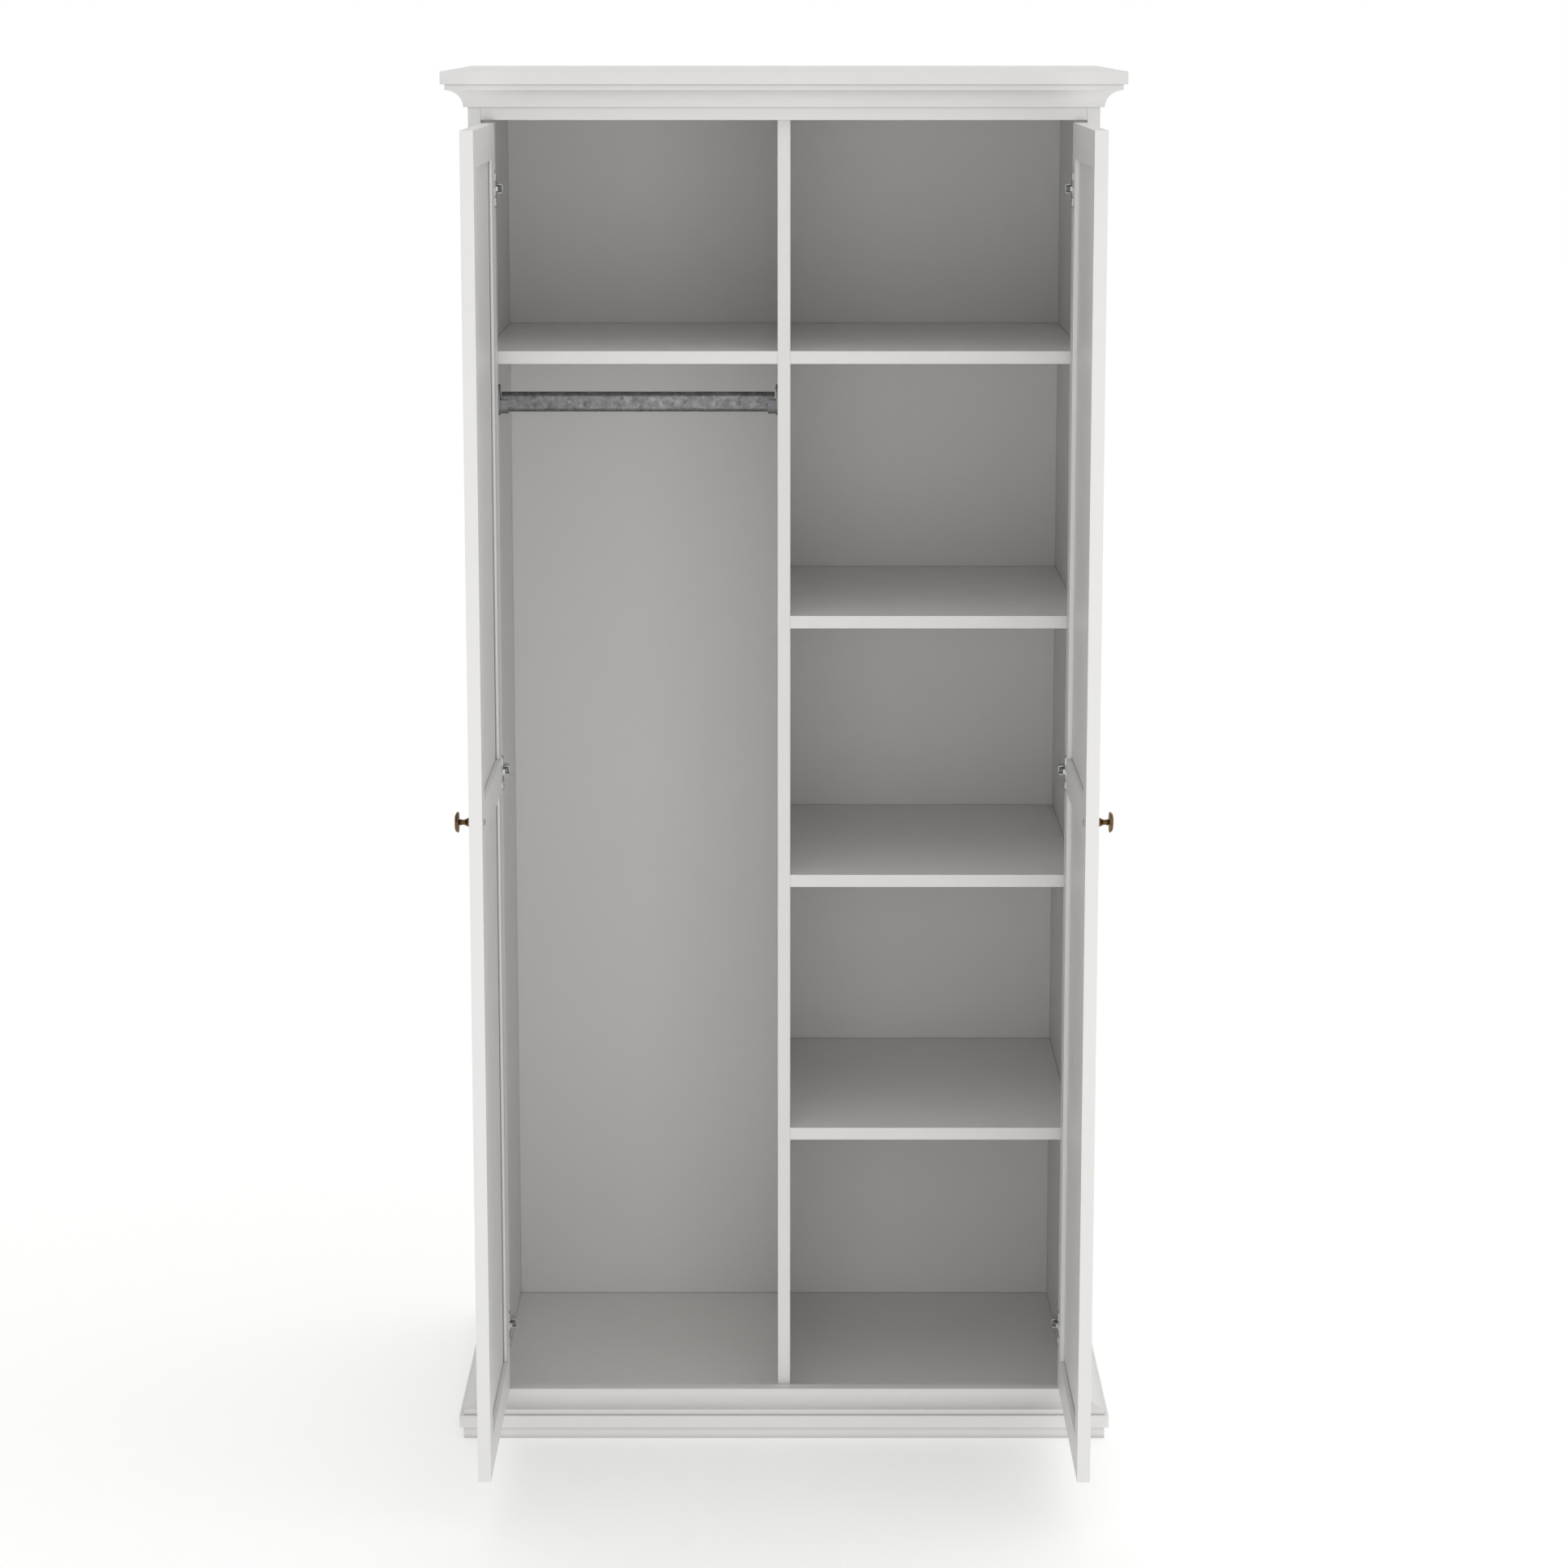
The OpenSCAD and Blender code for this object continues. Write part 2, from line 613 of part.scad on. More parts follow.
left_side_panel();
right_side_panel();
centre_divider();
cornice_board();
base_board();
top_front_rail();
bottom_front_sill();
hanging_bay_shelf();
right_shelf_top();
right_shelf_upper();
right_shelf_lower();
right_shelf_bottom();
left_back_panel();
right_back_panel();
cornice_cove_front();
cornice_cove_left();
cornice_cove_right();
base_cove_front();
base_cove_left();
base_cove_right();
plinth_front();
plinth_left();
plinth_right();
plinth_back();
clothes_rail();
rail_sockets();
rail_socket_screws();
hinge_plates();
hinge_arms();
hinge_plate_screws();
dowels();
shelf_cams();
shelf_cam_bolts();
corner_screws();
back_panel_nails();
left_hinge_links();
right_hinge_links();
left_hinge_stile();
left_knob_stile();
left_door_top_rail();
left_door_middle_rail();
left_door_bottom_rail();
left_upper_panel();
left_lower_panel();
left_hinge_cups();
left_cup_screws();
left_knob();
left_knob_screw();
right_hinge_stile();
right_knob_stile();
right_door_top_rail();
right_door_middle_rail();
right_door_bottom_rail();
right_upper_panel();
right_lower_panel();
right_hinge_cups();
right_cup_screws();
right_knob();
right_knob_screw();
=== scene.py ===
"""White two-door wardrobe: finishes, detailed hardware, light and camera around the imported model.

Everything is in metres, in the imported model's own frame: +X right, +Y to the back, +Z up, floor at z = 0.
"""

import math

import bmesh
import bpy
from mathutils import Matrix, Vector, noise


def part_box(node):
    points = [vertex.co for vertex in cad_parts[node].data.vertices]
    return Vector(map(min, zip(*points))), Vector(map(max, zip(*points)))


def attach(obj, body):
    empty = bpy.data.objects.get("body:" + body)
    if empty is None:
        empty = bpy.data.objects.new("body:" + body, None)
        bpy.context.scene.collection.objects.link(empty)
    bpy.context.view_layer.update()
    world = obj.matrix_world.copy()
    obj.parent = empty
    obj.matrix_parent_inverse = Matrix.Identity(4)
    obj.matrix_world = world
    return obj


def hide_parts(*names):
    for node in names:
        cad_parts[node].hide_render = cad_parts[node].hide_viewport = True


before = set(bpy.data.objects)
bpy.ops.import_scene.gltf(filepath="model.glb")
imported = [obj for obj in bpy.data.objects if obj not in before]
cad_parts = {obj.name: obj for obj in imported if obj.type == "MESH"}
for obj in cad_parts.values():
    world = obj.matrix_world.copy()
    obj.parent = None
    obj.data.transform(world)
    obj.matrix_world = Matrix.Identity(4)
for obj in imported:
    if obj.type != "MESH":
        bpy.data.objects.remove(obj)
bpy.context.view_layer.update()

MM = 0.001

# Camera: on the centre line, just above the height of the cabinet, looking down at it
CAMERA_DISTANCE = 6.0317
CAMERA_HEIGHT = 2.0837
CAMERA_PITCH = math.radians(10.49)
CAMERA_LENS = 95.91
CAMERA_SENSOR = 36.0

# Radius worked onto the edges of each kind of piece
BOARD_ROUND = 0.8 * MM
DOOR_ROUND = 0.35 * MM
MOULDING_ROUND = 0.5 * MM
METAL_ROUND = 0.25 * MM

# Faces at less than the first angle are joined flat, and edges sharper than the second are rounded
FLAT_ANGLE = math.radians(0.5)
SHARP_ANGLE = math.radians(32)

# Corners closer than this are one corner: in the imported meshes, and after the edges are rounded
SAME_CORNER = 0.005 * MM
SAME_ROUNDED_CORNER = 0.004 * MM

DOORS = ("left", "right")

# Thickness of the band glued to a board's front edge
EDGE_BAND = 1.1 * MM

# Most of a noise texture's values lie in this span
NOISE_SPAN = (0.3, 0.7)

# The two tones of white that the paint drifts between
WHITE_LOW = (0.770, 0.764, 0.751, 1)
WHITE_HIGH = (0.786, 0.780, 0.767, 1)

# Painted shade and shadow: the colour darkens where two surfaces stand closer than this, and further out
# below an overhang
CREVICE_REACH = 2.5 * MM
OVERHANG_SHADOW_REACH = 10 * MM
# Colour of the painted shade in corners, gaps and under the overhang
CREVICE_SHADE_TONE = (0.30, 0.29, 0.275, 1)

# Dust in the seam between an edge band and the board
SEAM_TONE = (0.33, 0.31, 0.28, 1)

# Dark and light tone of each metal and of the beech
NICKEL_TONES = ((0.45, 0.45, 0.455, 1), (0.59, 0.59, 0.595, 1))
CAST_TONES = ((0.25, 0.25, 0.26, 1), (0.33, 0.33, 0.34, 1))
ZINC_TONES = ((0.135, 0.136, 0.137, 1), (0.30, 0.301, 0.302, 1))
BRONZE_TONES = ((0.035, 0.02, 0.008, 1), (0.27, 0.158, 0.073, 1))
BEECH_TONES = ((0.50, 0.31, 0.16, 1), (0.66, 0.46, 0.27, 1))
BEECH_FLECK = (0.36, 0.2, 0.1, 1)

# Sky brightness from each side, blended by the square of the direction: axis, sign of the axis, strength
SKY = ((0, -1, 0.15), (0, 1, 1.0), (1, -1, 0.65), (1, 1, 0.95), (2, 1, 0.95))
SKY_COLOUR = (1.0, 0.998, 0.992, 1)

# A large soft box in front of the cabinet
SOFTBOX_SIZE = 2.6
SOFTBOX_SPOT = (0.2, -4.0, 0.8)
SOFTBOX_WATTS = 27.0

FLOOR_RADIUS = 30.0

# The floor glows a little, so that it stays nearly as white as the background
FLOOR_TONE = 0.94
FLOOR_GLOW = 0.24


# ---- node helpers ----


def add(tree, kind, inputs=None, **settings):
    """Adds a node. Each input is either a value or a socket to link from."""
    node = tree.nodes.new(kind)
    for key, value in settings.items():
        setattr(node, key, value)
    for key, value in (inputs or {}).items():
        if isinstance(value, bpy.types.NodeSocket):
            tree.links.new(value, node.inputs[key])
        else:
            node.inputs[key].default_value = value
    return node


def math_node(tree, operation, first, second=0.0):
    return add(tree, "ShaderNodeMath", {0: first, 1: second}, operation=operation).outputs[0]


def spread(tree, value, low, high, to_low, to_high):
    """Maps low..high to to_low..to_high, clamped."""
    node = add(tree, "ShaderNodeMapRange", {
        "Value": value, "From Min": low, "From Max": high, "To Min": to_low, "To Max": to_high})
    return node.outputs["Result"]


def spread_noise(tree, noise_value, to_low, to_high):
    return spread(tree, noise_value, *NOISE_SPAN, to_low, to_high)


def blend_colour(tree, factor, first, second):
    node = add(tree, "ShaderNodeMix", {0: factor, 6: first, 7: second}, data_type="RGBA")
    return node.outputs[2]


def grain(tree, scale, stretch=(1, 1, 1), detail=2.0, roughness=0.5):
    """Fractal noise in the piece's own coordinates. scale is cells per metre."""
    place = add(tree, "ShaderNodeTexCoord").outputs["Object"]
    place = add(tree, "ShaderNodeMapping", {"Vector": place, "Scale": stretch}).outputs[0]
    node = add(tree, "ShaderNodeTexNoise", {
        "Vector": place, "Scale": scale, "Detail": detail, "Roughness": roughness})
    return node.outputs["Fac"]


def bump(tree, height, depth, under=None):
    """Raises the surface by height times depth, on top of the bump called under."""
    inputs = {"Height": height, "Distance": depth, "Strength": 1.0}
    if under is not None:
        inputs["Normal"] = under
    return add(tree, "ShaderNodeBump", inputs).outputs["Normal"]


def crevice_shade(tree, colour, reach=CREVICE_REACH):
    """Paints shade into the colour: darkens inner corners and the narrow gaps between pieces."""
    node = add(tree, "ShaderNodeAmbientOcclusion", {"Distance": reach}, samples=4)
    closed = spread(tree, node.outputs["AO"], 0.2, 0.9, 0.85, 0.0)
    return blend_colour(tree, closed, colour, CREVICE_SHADE_TONE)


def material(name):
    made = bpy.data.materials.new(name)
    made.use_nodes = True
    return made, made.node_tree, made.node_tree.nodes["Principled BSDF"]


def connect(tree, shader, **sockets):
    for key, source in sockets.items():
        tree.links.new(source, shader.inputs[key.replace("_", " ")])


# ---- finishes ----


def white_lacquer(name, seam_y=None, reach=CREVICE_REACH):
    """Sprayed satin white: clouds of tone, fine orange peel, uneven sheen.

    seam_y is where the edge band meets the board's face, a hairline that holds a little dust.
    reach is how far the painted shade spreads out of corners and gaps.
    """
    made, tree, shader = material(name)
    clouds = spread_noise(tree, grain(tree, 3.1, detail=3.0), 0.0, 1.0)
    colour = blend_colour(tree, clouds, WHITE_LOW, WHITE_HIGH)
    peel = grain(tree, 420.0, detail=1.0)
    long_waves = grain(tree, 38.0, detail=2.0)
    sheen = spread_noise(tree, grain(tree, 14.0, detail=6.0, roughness=0.65), 0.36, 0.48)
    surface = bump(tree, peel, 0.02 * MM, bump(tree, long_waves, 0.06 * MM))
    if seam_y is not None:
        place = add(tree, "ShaderNodeTexCoord").outputs["Object"]
        depth = add(tree, "ShaderNodeSeparateXYZ", {"Vector": place}).outputs["Y"]
        away = math_node(tree, "ABSOLUTE", math_node(tree, "SUBTRACT", depth, seam_y))
        seam = spread(tree, away, 0.1 * MM, 0.3 * MM, 1.0, 0.0)
        colour = blend_colour(tree, math_node(tree, "MULTIPLY", seam, 0.6), colour, SEAM_TONE)
        surface = bump(tree, math_node(tree, "MULTIPLY", seam, -1.0), 0.1 * MM, surface)
    # The base colour carries painted shade in its corners and gaps
    connect(tree, shader, Base_Color=crevice_shade(tree, colour, reach), Roughness=sheen, Normal=surface)
    shader.inputs["IOR"].default_value = 1.46
    return made


def white_backing():
    """Thin painted fibreboard: matter than the boards, with a trace of its fibres."""
    made, tree, shader = material("white_backing")
    clouds = spread_noise(tree, grain(tree, 2.3, detail=3.0), 0.0, 1.0)
    colour = blend_colour(tree, clouds, WHITE_LOW, WHITE_HIGH)
    fibres = grain(tree, 260.0, stretch=(1, 1, 0.25), detail=4.0, roughness=0.6)
    sheen = spread_noise(tree, fibres, 0.48, 0.62)
    surface = bump(tree, fibres, 0.03 * MM)
    # The base colour carries painted shade in its corners and gaps
    connect(tree, shader, Base_Color=crevice_shade(tree, colour), Roughness=sheen, Normal=surface)
    return made


def galvanised():
    """Hot-dip zinc: interlocking crystals of differing grey and gloss."""
    made, tree, shader = material("galvanised_zinc")
    place = add(tree, "ShaderNodeTexCoord").outputs["Object"]
    drift = add(tree, "ShaderNodeTexNoise", {"Vector": place, "Scale": 160.0, "Detail": 3.0})
    bent = add(tree, "ShaderNodeVectorMath", {0: drift.outputs["Color"], "Scale": 0.006}, operation="SCALE")
    moved = add(tree, "ShaderNodeVectorMath", {0: place, 1: bent.outputs[0]}, operation="ADD").outputs[0]
    crystals = add(tree, "ShaderNodeTexVoronoi", {"Vector": moved, "Scale": 170.0})
    shade = add(tree, "ShaderNodeSeparateColor", {"Color": crystals.outputs["Color"]})
    fine = grain(tree, 900.0, detail=3.0)
    frost = spread(tree, grain(tree, 95.0, detail=5.0, roughness=0.62), 0.36, 0.68, 0.0, 1.0)
    crystal_share = math_node(tree, "MULTIPLY", shade.outputs[0], 0.35)
    tone = math_node(tree, "ADD", math_node(tree, "MULTIPLY", frost, 0.65), crystal_share)
    colour = blend_colour(tree, tone, *ZINC_TONES)
    gloss = spread(tree, shade.outputs[1], 0.0, 1.0, 0.40, 0.52)
    surface = bump(tree, crystals.outputs["Distance"], 0.05 * MM, bump(tree, fine, 0.01 * MM))
    connect(tree, shader, Base_Color=colour, Roughness=gloss, Normal=surface)
    shader.inputs["Metallic"].default_value = 1.0
    return made


def metal(name, tones, roughness, scratch_scale, pit_depth):
    """Worn metal: patches between two tones, fine scratches that run along Z, tiny pits."""
    made, tree, shader = material(name)
    patches = grain(tree, 130.0, detail=5.0, roughness=0.6)
    scratches = grain(tree, scratch_scale, stretch=(1, 1, 0.08), detail=2.0)
    tone = spread(tree, patches, 0.32, 0.68, 0.0, 1.0)
    gloss = spread(tree, math_node(tree, "MULTIPLY", patches, scratches), 0.1, 0.45, *roughness)
    surface = bump(tree, grain(tree, 700.0, detail=3.0), pit_depth, bump(tree, scratches, pit_depth * 0.5))
    connect(tree, shader, Base_Color=blend_colour(tree, tone, *tones), Roughness=gloss, Normal=surface)
    shader.inputs["Metallic"].default_value = 1.0
    return made


def antique_bronze():
    """Dark patina in the hollows, rubbed to warm bronze on the ridges."""
    made, tree, shader = material("antique_bronze")
    ridges = add(tree, "ShaderNodeNewGeometry").outputs["Pointiness"]
    rubbed = spread(tree, ridges, 0.46, 0.56, 0.0, 0.65)
    patches = grain(tree, 130.0, detail=5.0, roughness=0.6)
    tone = math_node(tree, "ADD", rubbed, spread_noise(tree, patches, 0.0, 0.35))
    colour = blend_colour(tree, tone, *BRONZE_TONES)
    gloss = spread(tree, tone, 0.0, 1.0, 0.42, 0.24)
    connect(tree, shader, Base_Color=colour, Roughness=gloss, Normal=bump(tree, patches, 0.02 * MM))
    shader.inputs["Metallic"].default_value = 1.0
    return made


def beech():
    """Beech: straight pale grain along X with short dark flecks."""
    made, tree, shader = material("beech_wood")
    rings = grain(tree, 90.0, stretch=(0.15, 1, 1), detail=4.0)
    flecks = spread(tree, grain(tree, 500.0, stretch=(0.1, 1, 1), detail=1.0), 0.6, 0.7, 0.0, 1.0)
    wood = blend_colour(tree, rings, *BEECH_TONES)
    colour = blend_colour(tree, math_node(tree, "MULTIPLY", flecks, 0.4), wood, BEECH_FLECK)
    connect(tree, shader, Base_Color=colour, Normal=bump(tree, rings, 0.05 * MM))
    shader.inputs["Roughness"].default_value = 0.6
    return made


def make_finishes():
    """Every finish, by the name that finish_of gives."""
    side_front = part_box("left_side_panel")[0].y
    shelf_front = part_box("centre_divider")[0].y
    return {
        "white_board": white_lacquer("white_lacquer"),
        # The plinth's finish paints a wider shadow under the base board's overhang
        "white_plinth": white_lacquer("white_lacquer_plinth", reach=OVERHANG_SHADOW_REACH),
        "banded_side": white_lacquer("white_lacquer_side", side_front + EDGE_BAND),
        "banded_shelf": white_lacquer("white_lacquer_shelf", shelf_front + EDGE_BAND),
        "white_backing": white_backing(),
        "hinge_steel": metal("nickel_steel", NICKEL_TONES, (0.3, 0.44), 420.0, 0.004 * MM),
        "die_cast": metal("die_cast_zinc", CAST_TONES, (0.45, 0.6), 300.0, 0.02 * MM),
        "zinc": galvanised(),
        "bronze": antique_bronze(),
        "beech": beech()}


# ---- surface modifiers of the CAD pieces ----


def clean_group():
    """Joins the imported corners, drops the imported normals and shades every face smooth."""
    group = bpy.data.node_groups.new("clean_surface", "GeometryNodeTree")
    group.interface.new_socket("Geometry", in_out="INPUT", socket_type="NodeSocketGeometry")
    group.interface.new_socket("Geometry", in_out="OUTPUT", socket_type="NodeSocketGeometry")
    flow = group.nodes.new("NodeGroupInput").outputs[0]
    flow = add(group, "GeometryNodeMergeByDistance", {"Geometry": flow, "Distance": SAME_CORNER}).outputs[0]
    flow = add(group, "GeometryNodeRemoveAttribute", {"Geometry": flow, "Name": "custom_normal"}).outputs[0]
    flow = add(group, "GeometryNodeSetShadeSmooth", {"Geometry": flow, "Shade Smooth": True}).outputs[0]
    add(group, "NodeGroupOutput", {"Geometry": flow})
    return group


def round_edges(piece, radius):
    """Cleans the surface and works a small radius onto every sharp edge."""
    piece.modifiers.new("clean", "NODES").node_group = CLEAN
    flat = piece.modifiers.new("flat_faces", "DECIMATE")
    flat.decimate_type = "DISSOLVE"
    flat.angle_limit = FLAT_ANGLE
    edge = piece.modifiers.new("round_edges", "BEVEL")
    edge.width = radius
    edge.segments = 2
    edge.limit_method = "ANGLE"
    edge.angle_limit = SHARP_ANGLE
    edge.miter_outer = "MITER_ARC"
    piece.modifiers.new("joined_points", "WELD").merge_threshold = SAME_ROUNDED_CORNER
    even = piece.modifiers.new("even_shading", "WEIGHTED_NORMAL")
    even.keep_sharp = False


def has(name, *words):
    return any(word in name for word in words)


def edge_radius(name, slot):
    if not slot.startswith("white"):
        return METAL_ROUND
    if has(name, "cove", "plinth"):
        return MOULDING_ROUND
    if has(name, "stile", "_door_", "upper_panel", "lower_panel"):
        return DOOR_ROUND
    return BOARD_ROUND


def finish_of(name, slot):
    """Most nodes take the finish of their record slot; the plinth (painted shadow under the overhang),
    banded boards and castings have their own.
    """
    if name == "rail_sockets":
        return "die_cast"
    if name.startswith("plinth"):
        return "white_plinth"
    if name.endswith("side_panel"):
        return "banded_side"
    if has(name, "shelf", "divider") and slot == "white_board":
        return "banded_shelf"
    return slot


def finish_cad_nodes():
    for name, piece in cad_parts.items():
        slot = piece.material_slots[0].material.name
        for place in piece.material_slots:
            place.material = FINISHES[finish_of(name, slot)]
        round_edges(piece, edge_radius(name, slot))


# ---- lathe-turned hardware ----


def turned(rings, segments):
    """A closed solid turned about +Z.

    rings yields its rings from the bottom up, each a function that gives (radius, z) at an angle.
    """
    shape = bmesh.new()
    loops = []
    for ring in rings:
        loop = []
        for i in range(segments):
            turn = 2 * math.pi * i / segments
            radius, z = ring(turn)
            loop.append(shape.verts.new((radius * math.cos(turn), radius * math.sin(turn), z)))
        loops.append(loop)
    for low, high in zip(loops, loops[1:]):
        for i in range(segments):
            j = (i + 1) % segments
            shape.faces.new((low[i], low[j], high[j], high[i]))
    for loop, is_bottom in ((loops[0], True), (loops[-1], False)):
        middle = shape.verts.new(sum((v.co for v in loop), Vector()) / segments)
        for i in range(segments):
            pair = (loop[i], loop[(i + 1) % segments])
            shape.faces.new((middle, *(reversed(pair) if is_bottom else pair)))
    mesh = bpy.data.meshes.new("turned")
    shape.to_mesh(mesh)
    shape.free()
    return mesh


def stood(spot, points_to):
    """The matrix that stands local +Z along points_to at spot."""
    turn = Vector((0, 0, 1)).rotation_difference(Vector(points_to))
    return Matrix.Translation(spot) @ turn.to_matrix().to_4x4()


def make_piece(name, mesh, places, body, finish, replaced):
    """One piece: the mesh repeated at each place, riding on body instead of the node it replaces."""
    shape = bmesh.new()
    for place in places:
        start = len(shape.verts)
        shape.from_mesh(mesh)
        shape.verts.ensure_lookup_table()
        bmesh.ops.transform(shape, matrix=place, verts=shape.verts[start:])
    joined = bpy.data.meshes.new(name)
    shape.to_mesh(joined)
    shape.free()
    joined.shade_smooth()
    joined.materials.append(FINISHES[finish])
    piece = bpy.data.objects.new(name, joined)
    bpy.context.scene.collection.objects.link(piece)
    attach(piece, body)
    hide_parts(replaced)
    return piece


def solid_boxes(node):
    """The lowest and highest corner of each separate solid in a CAD node."""
    shape = bmesh.new()
    shape.from_mesh(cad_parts[node].data)
    bmesh.ops.remove_doubles(shape, verts=shape.verts, dist=0.001 * MM)
    boxes = []
    waiting = set(shape.verts)
    for first in shape.verts:
        if first not in waiting:
            continue
        waiting.discard(first)
        group = [first]
        for vert in group:
            for edge in vert.link_edges:
                other = edge.other_vert(vert)
                if other in waiting:
                    waiting.discard(other)
                    group.append(other)
        corners = [[pick(v.co[i] for v in group) for i in range(3)] for pick in (min, max)]
        boxes.append((Vector(corners[0]), Vector(corners[1])))
    shape.free()
    return boxes


# Knob section in millimetres: (distance from the door, radius)
KNOB_FOOT = [(0, 6.4), (2.6, 6.4), (3.8, 6.0), (5.5, 4.9), (7.5, 3.9)]
KNOB_NECK = [(9.9, 3.5), (11.5, 3.5), (12.3, 4.0), (13.2, 4.3), (14.1, 4.0), (15.0, 3.7)]
KNOB_HEAD_BACK = [(15.6, 5.0), (15.85, 9.0), (16.0, 13.6)]
KNOB_HEAD_FACE = [(16.6, 14.4), (17.6, 14.3), (19.2, 13.2), (20.2, 12.0), (21.0, 10.2), (21.4, 8.0),
                  (21.6, 5.5), (21.7, 2.5)]
KNOB_SECTION = KNOB_FOOT + KNOB_NECK + KNOB_HEAD_BACK + KNOB_HEAD_FACE

# Rings between two points of the section, and points round each ring
KNOB_STEPS = 4
KNOB_SEGMENTS = 96

# The hammer marks fade in over the first millimetre from here
KNOB_HEAD_START = 15.4

# Hammer marks: cells per millimetre, and how far they push towards the axis and towards the door
HAMMER_CELLS = 0.27
HAMMER_IN = 0.7
HAMMER_DOWN = 1.1

# Ripples: cells per millimetre, and their depth on the head alone and on the whole knob
RIPPLE_CELLS = 0.5
RIPPLE_HEAD = 0.3
RIPPLE_ALL = 0.08

# Shifts the noise so that the two knobs differ
KNOB_SEEDS = {"left": 50, "right": 20}


def knob_rings(seed):
    """The knob's rings, with hammer marks over the head and a slightly uneven neck."""

    def ring(depth, radius, head):
        def at(turn):
            spot = Vector((math.cos(turn) * radius, math.sin(turn) * radius, depth + seed))
            dent = max(0.0, 0.5 - noise.voronoi(spot * HAMMER_CELLS)[0][0] ** 2)
            ripple = abs(noise.noise(spot * RIPPLE_CELLS))
            marks = head * (HAMMER_IN * dent + RIPPLE_HEAD * ripple) + RIPPLE_ALL * ripple
            return ((radius - marks) * MM, (depth - head * HAMMER_DOWN * dent) * MM)
        return at

    for (z0, r0), (z1, r1) in zip(KNOB_SECTION, KNOB_SECTION[1:]):
        for step in range(KNOB_STEPS):
            share = step / KNOB_STEPS
            depth = z0 + (z1 - z0) * share
            radius = r0 + (r1 - r0) * share
            yield ring(depth, radius, min(max(depth - KNOB_HEAD_START, 0.0), 1.0))


def make_knobs():
    for side, sign in zip(DOORS, (-1, 1)):
        low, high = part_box(f"{side}_knob")
        foot = Vector((high.x if sign < 0 else low.x, (low.y + high.y) / 2, (low.z + high.z) / 2))
        mesh = turned(knob_rings(KNOB_SEEDS[side]), KNOB_SEGMENTS)
        make_piece(f"{side}_knob_hammered", mesh, [stood(foot, (sign, 0, 0))],
                   f"{side}_door", "bronze", f"{side}_knob")


# Screw thread and point in shank radii: pitch, height between rings, depth, length and radius of the point
THREAD_PITCH = 1.1
THREAD_STEP = 0.16
THREAD_DEPTH = 0.28
POINT_LENGTH = 1.8
POINT_RADIUS = 0.12

# How steep the thread's flanks are, and how many pitches under the head stay plain
FLANK_SLOPE = 4.4
PLAIN_PITCHES = 0.4

# Cross recess: reach and width in head radii, depth in head heights
RECESS_REACH = 0.62
RECESS_WIDTH = 0.3
RECESS_DEPTH = 0.7

# The share of its width and of its reach that the recess's sloping walls take
RECESS_SIDE_WALL = 0.25
RECESS_END_WALL = 0.5

# Rim of the head from its underside up: (share of the head radius, share of the head height)
HEAD_RIM = ((0.94, 0.0), (1.0, 0.08), (1.0, 0.3), (0.97, 0.42))

# The dome above the rim: rings, and the power that it falls off by
DOME_RINGS = 16
DOME_POWER = 2.4

SCREW_SEGMENTS = 40


def cross_recess(x, y, reach, width):
    """1 inside the cross of a screwdriver recess, falling to 0 over its sloping walls."""

    def arm(along, across):
        side = (width / 2 - abs(across)) / (RECESS_SIDE_WALL * width)
        end = (reach - abs(along)) / (RECESS_END_WALL * reach)
        return min(max(min(side, end), 0.0), 1.0)

    return max(arm(x, y), arm(y, x))


def screw_rings(head_r, head_h, shank_r, shank_l):
    """A domed head with a cross recess on z = 0 to head_h, and a threaded shank with a point below it."""
    pitch = THREAD_PITCH * shank_r
    step = THREAD_STEP * shank_r

    def shank(z):
        taper = min(1.0, (z + shank_l) / (POINT_LENGTH * shank_r) + POINT_RADIUS)
        thread = min(max(-z / pitch - PLAIN_PITCHES, 0.0), 1.0)

        def at(turn):
            phase = (z / pitch - turn / (2 * math.pi)) % 1.0
            groove = min(1.0, FLANK_SLOPE * abs(phase - 0.5)) * THREAD_DEPTH * thread
            return (shank_r * taper * (1 - groove), z)
        return at

    def head(radius_share, z_share):
        radius = radius_share * head_r

        def at(turn):
            recess = cross_recess(radius * math.cos(turn), radius * math.sin(turn),
                                  RECESS_REACH * head_r, RECESS_WIDTH * head_r)
            return (radius, head_h * (z_share - RECESS_DEPTH * recess))
        return at

    for i in range(int(shank_l / step)):
        yield shank(-shank_l + i * step)
    yield shank(-0.001 * MM)
    for radius_share, z_share in HEAD_RIM:
        yield head(radius_share, z_share)
    for i in range(1, DOME_RINGS):
        radius_share = HEAD_RIM[-1][0] * (1 - i / DOME_RINGS)
        rise = 1 - radius_share ** DOME_POWER
        yield head(radius_share, HEAD_RIM[-1][1] + (1 - HEAD_RIM[-1][1]) * rise)


def make_screws(node, body, shank_r, head_h, middle_x=0.0):
    """Replaces a node of screws that lie along X, with their heads towards middle_x.

    The screws of one size make one piece.
    """
    places_of_size = {}
    for low, high in solid_boxes(node):
        size = (round((high.y - low.y) / 2, 5), round(high.x - low.x - head_h, 5))
        inward = 1 if (low.x + high.x) / 2 < middle_x else -1
        seat_x = high.x - head_h if inward > 0 else low.x + head_h
        seat = Vector((seat_x, (low.y + high.y) / 2, (low.z + high.z) / 2))
        places_of_size.setdefault(size, []).append(stood(seat, (inward, 0, 0)))
    for number, size in enumerate(sorted(places_of_size), start=1):
        head_r, shank_l = size
        mesh = turned(screw_rings(head_r, head_h, shank_r, shank_l), SCREW_SEGMENTS)
        name = f"{node}_threaded" + (f"_{number}" if len(places_of_size) > 1 else "")
        make_piece(name, mesh, places_of_size[size], body, "hinge_steel", node)


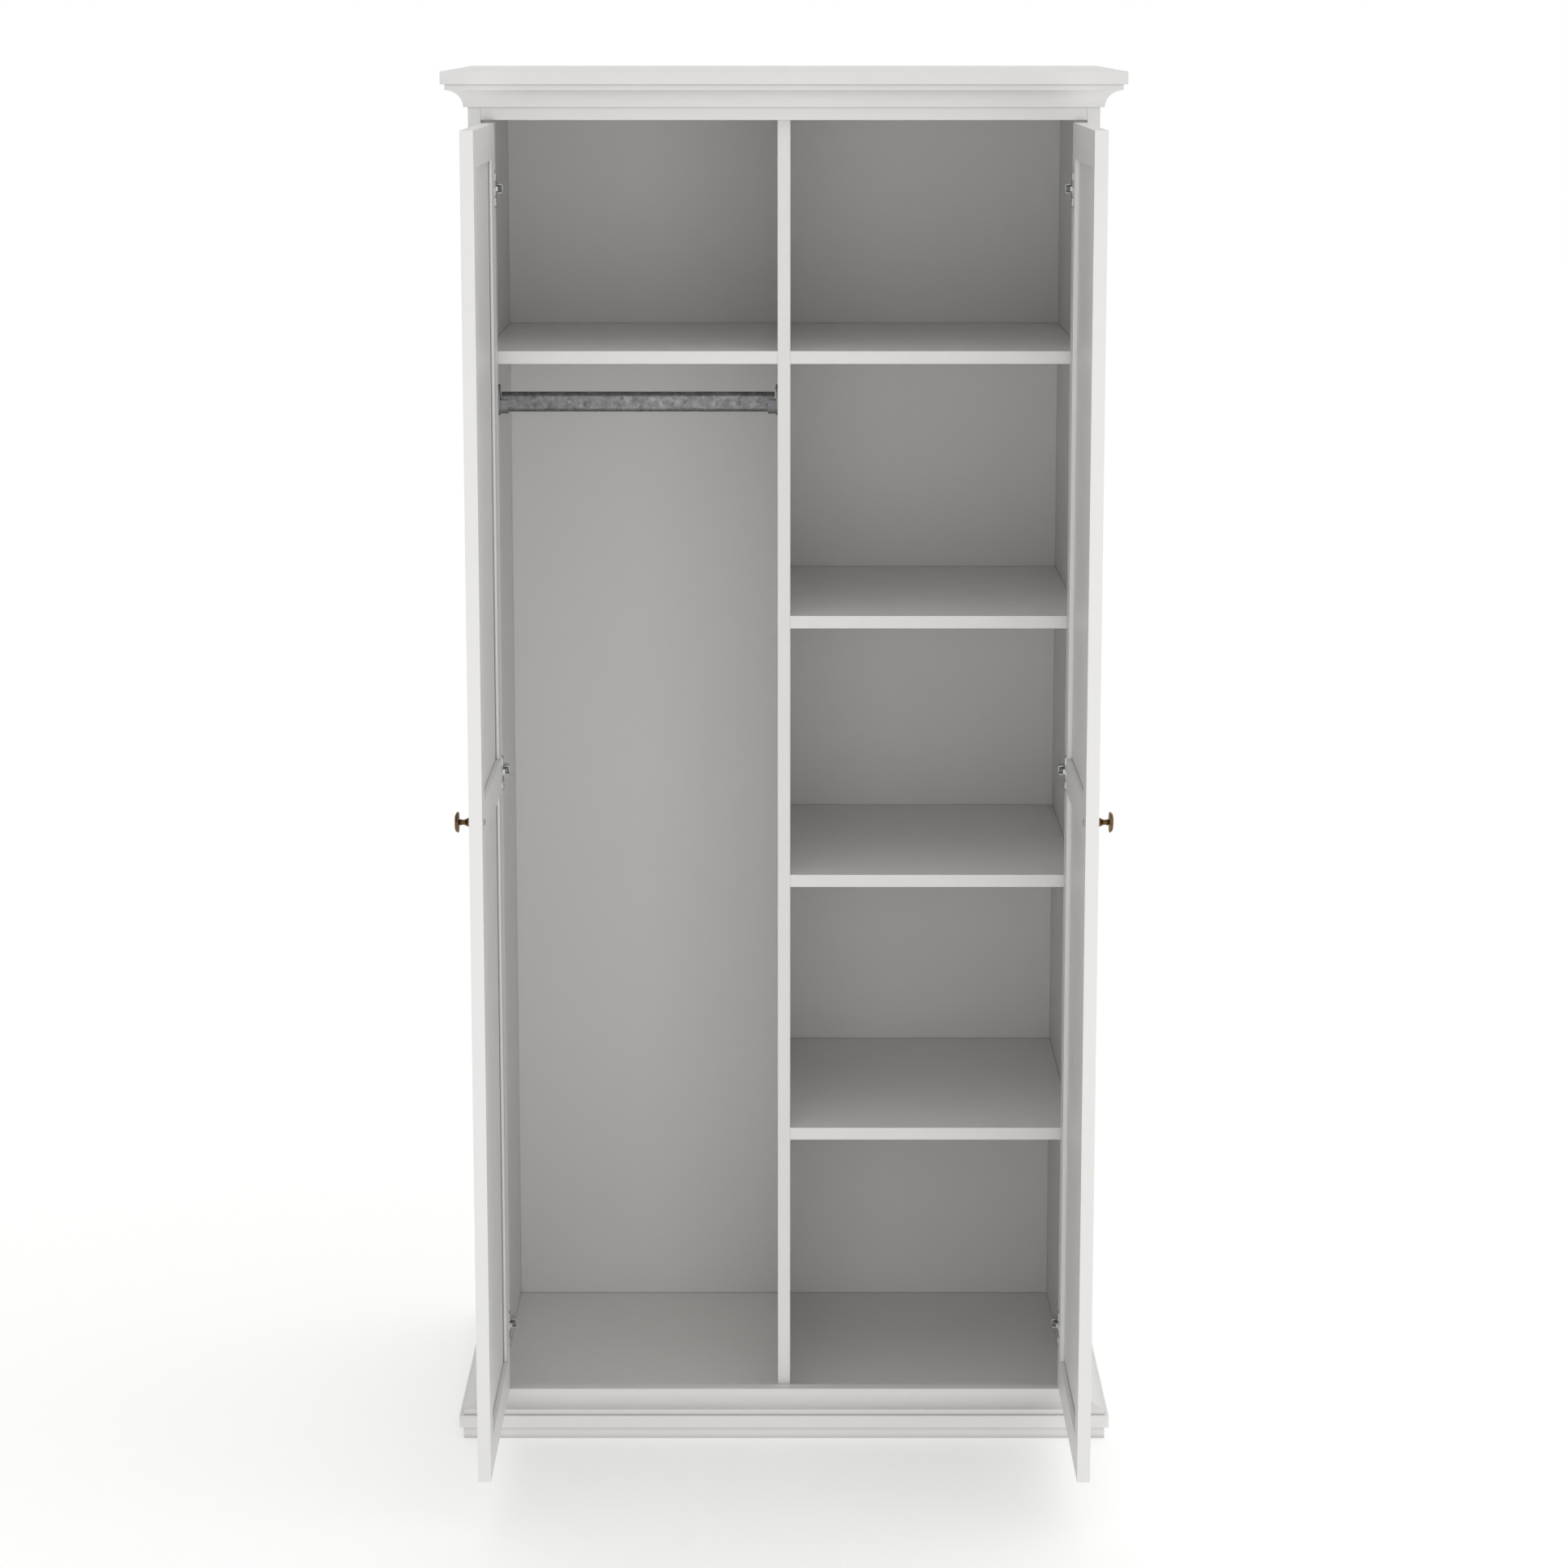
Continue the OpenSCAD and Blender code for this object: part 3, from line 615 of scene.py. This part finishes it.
def make_all_screws():
    rod_low, rod_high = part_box("clothes_rail")
    rod_middle = (rod_low.x + rod_high.x) / 2
    make_screws("rail_socket_screws", "cabinet", shank_r=1.7 * MM, head_h=1.2 * MM, middle_x=rod_middle)
    make_screws("hinge_plate_screws", "cabinet", shank_r=1.75 * MM, head_h=1.8 * MM)
    for side in DOORS:
        make_screws(f"{side}_cup_screws", f"{side}_door", shank_r=1.6 * MM, head_h=1.2 * MM)
        make_screws(f"{side}_knob_screw", f"{side}_door", shank_r=1.9 * MM, head_h=2.0 * MM)


# ---- light, floor and camera ----


def make_world():
    world = bpy.data.worlds.new("soft_studio")
    bpy.context.scene.world = world
    world.use_nodes = True
    tree = world.node_tree
    tree.nodes.clear()
    way = add(tree, "ShaderNodeTexCoord").outputs["Generated"]
    parts = add(tree, "ShaderNodeSeparateXYZ", {"Vector": way}).outputs
    total = 0.0
    for axis, sign, power in SKY:
        lobe = math_node(tree, "MAXIMUM", math_node(tree, "MULTIPLY", parts[axis], sign), 0.0)
        lobe = math_node(tree, "MULTIPLY", math_node(tree, "POWER", lobe, 2.0), power)
        total = math_node(tree, "ADD", total, lobe)
    light = add(tree, "ShaderNodeBackground", {"Color": SKY_COLOUR, "Strength": total})
    white = add(tree, "ShaderNodeBackground", {"Color": (1, 1, 1, 1), "Strength": 1.0})
    seen = add(tree, "ShaderNodeLightPath").outputs["Is Camera Ray"]
    mixed = add(tree, "ShaderNodeMixShader", {0: seen, 1: light.outputs[0], 2: white.outputs[0]})
    add(tree, "ShaderNodeOutputWorld", {"Surface": mixed.outputs[0]})


def make_softbox():
    light = bpy.data.lights.new("front_softbox", "AREA")
    light.size = SOFTBOX_SIZE
    light.energy = SOFTBOX_WATTS
    softbox = bpy.data.objects.new("front_softbox", light)
    softbox.location = SOFTBOX_SPOT
    softbox.rotation_euler = (math.pi / 2, 0, 0)
    softbox.visible_camera = False
    bpy.context.scene.collection.objects.link(softbox)


def make_floor():
    mesh = bpy.data.meshes.new("floor")
    shape = bmesh.new()
    bmesh.ops.create_circle(shape, cap_ends=True, radius=FLOOR_RADIUS, segments=96)
    shape.to_mesh(mesh)
    shape.free()
    floor = bpy.data.objects.new("floor", mesh)
    bpy.context.scene.collection.objects.link(floor)
    made, tree, shader = material("pale_floor")
    shader.inputs["Base Color"].default_value = (FLOOR_TONE, FLOOR_TONE, FLOOR_TONE, 1)
    shader.inputs["Roughness"].default_value = 0.9
    shader.inputs["Emission Color"].default_value = (1, 1, 1, 1)
    shader.inputs["Emission Strength"].default_value = FLOOR_GLOW
    mesh.materials.append(made)


def make_camera():
    lens = bpy.data.cameras.new("camera")
    lens.lens = CAMERA_LENS
    lens.sensor_width = CAMERA_SENSOR
    camera = bpy.data.objects.new("camera", lens)
    camera.location = (0, -CAMERA_DISTANCE, CAMERA_HEIGHT)
    camera.rotation_euler = (math.pi / 2 - CAMERA_PITCH, 0, 0)
    bpy.context.scene.collection.objects.link(camera)
    bpy.context.scene.camera = camera


make_camera()
CLEAN = clean_group()
FINISHES = make_finishes()
finish_cad_nodes()
make_knobs()
make_all_screws()
make_world()
make_softbox()
make_floor()
bpy.context.scene.view_settings.view_transform = "Standard"
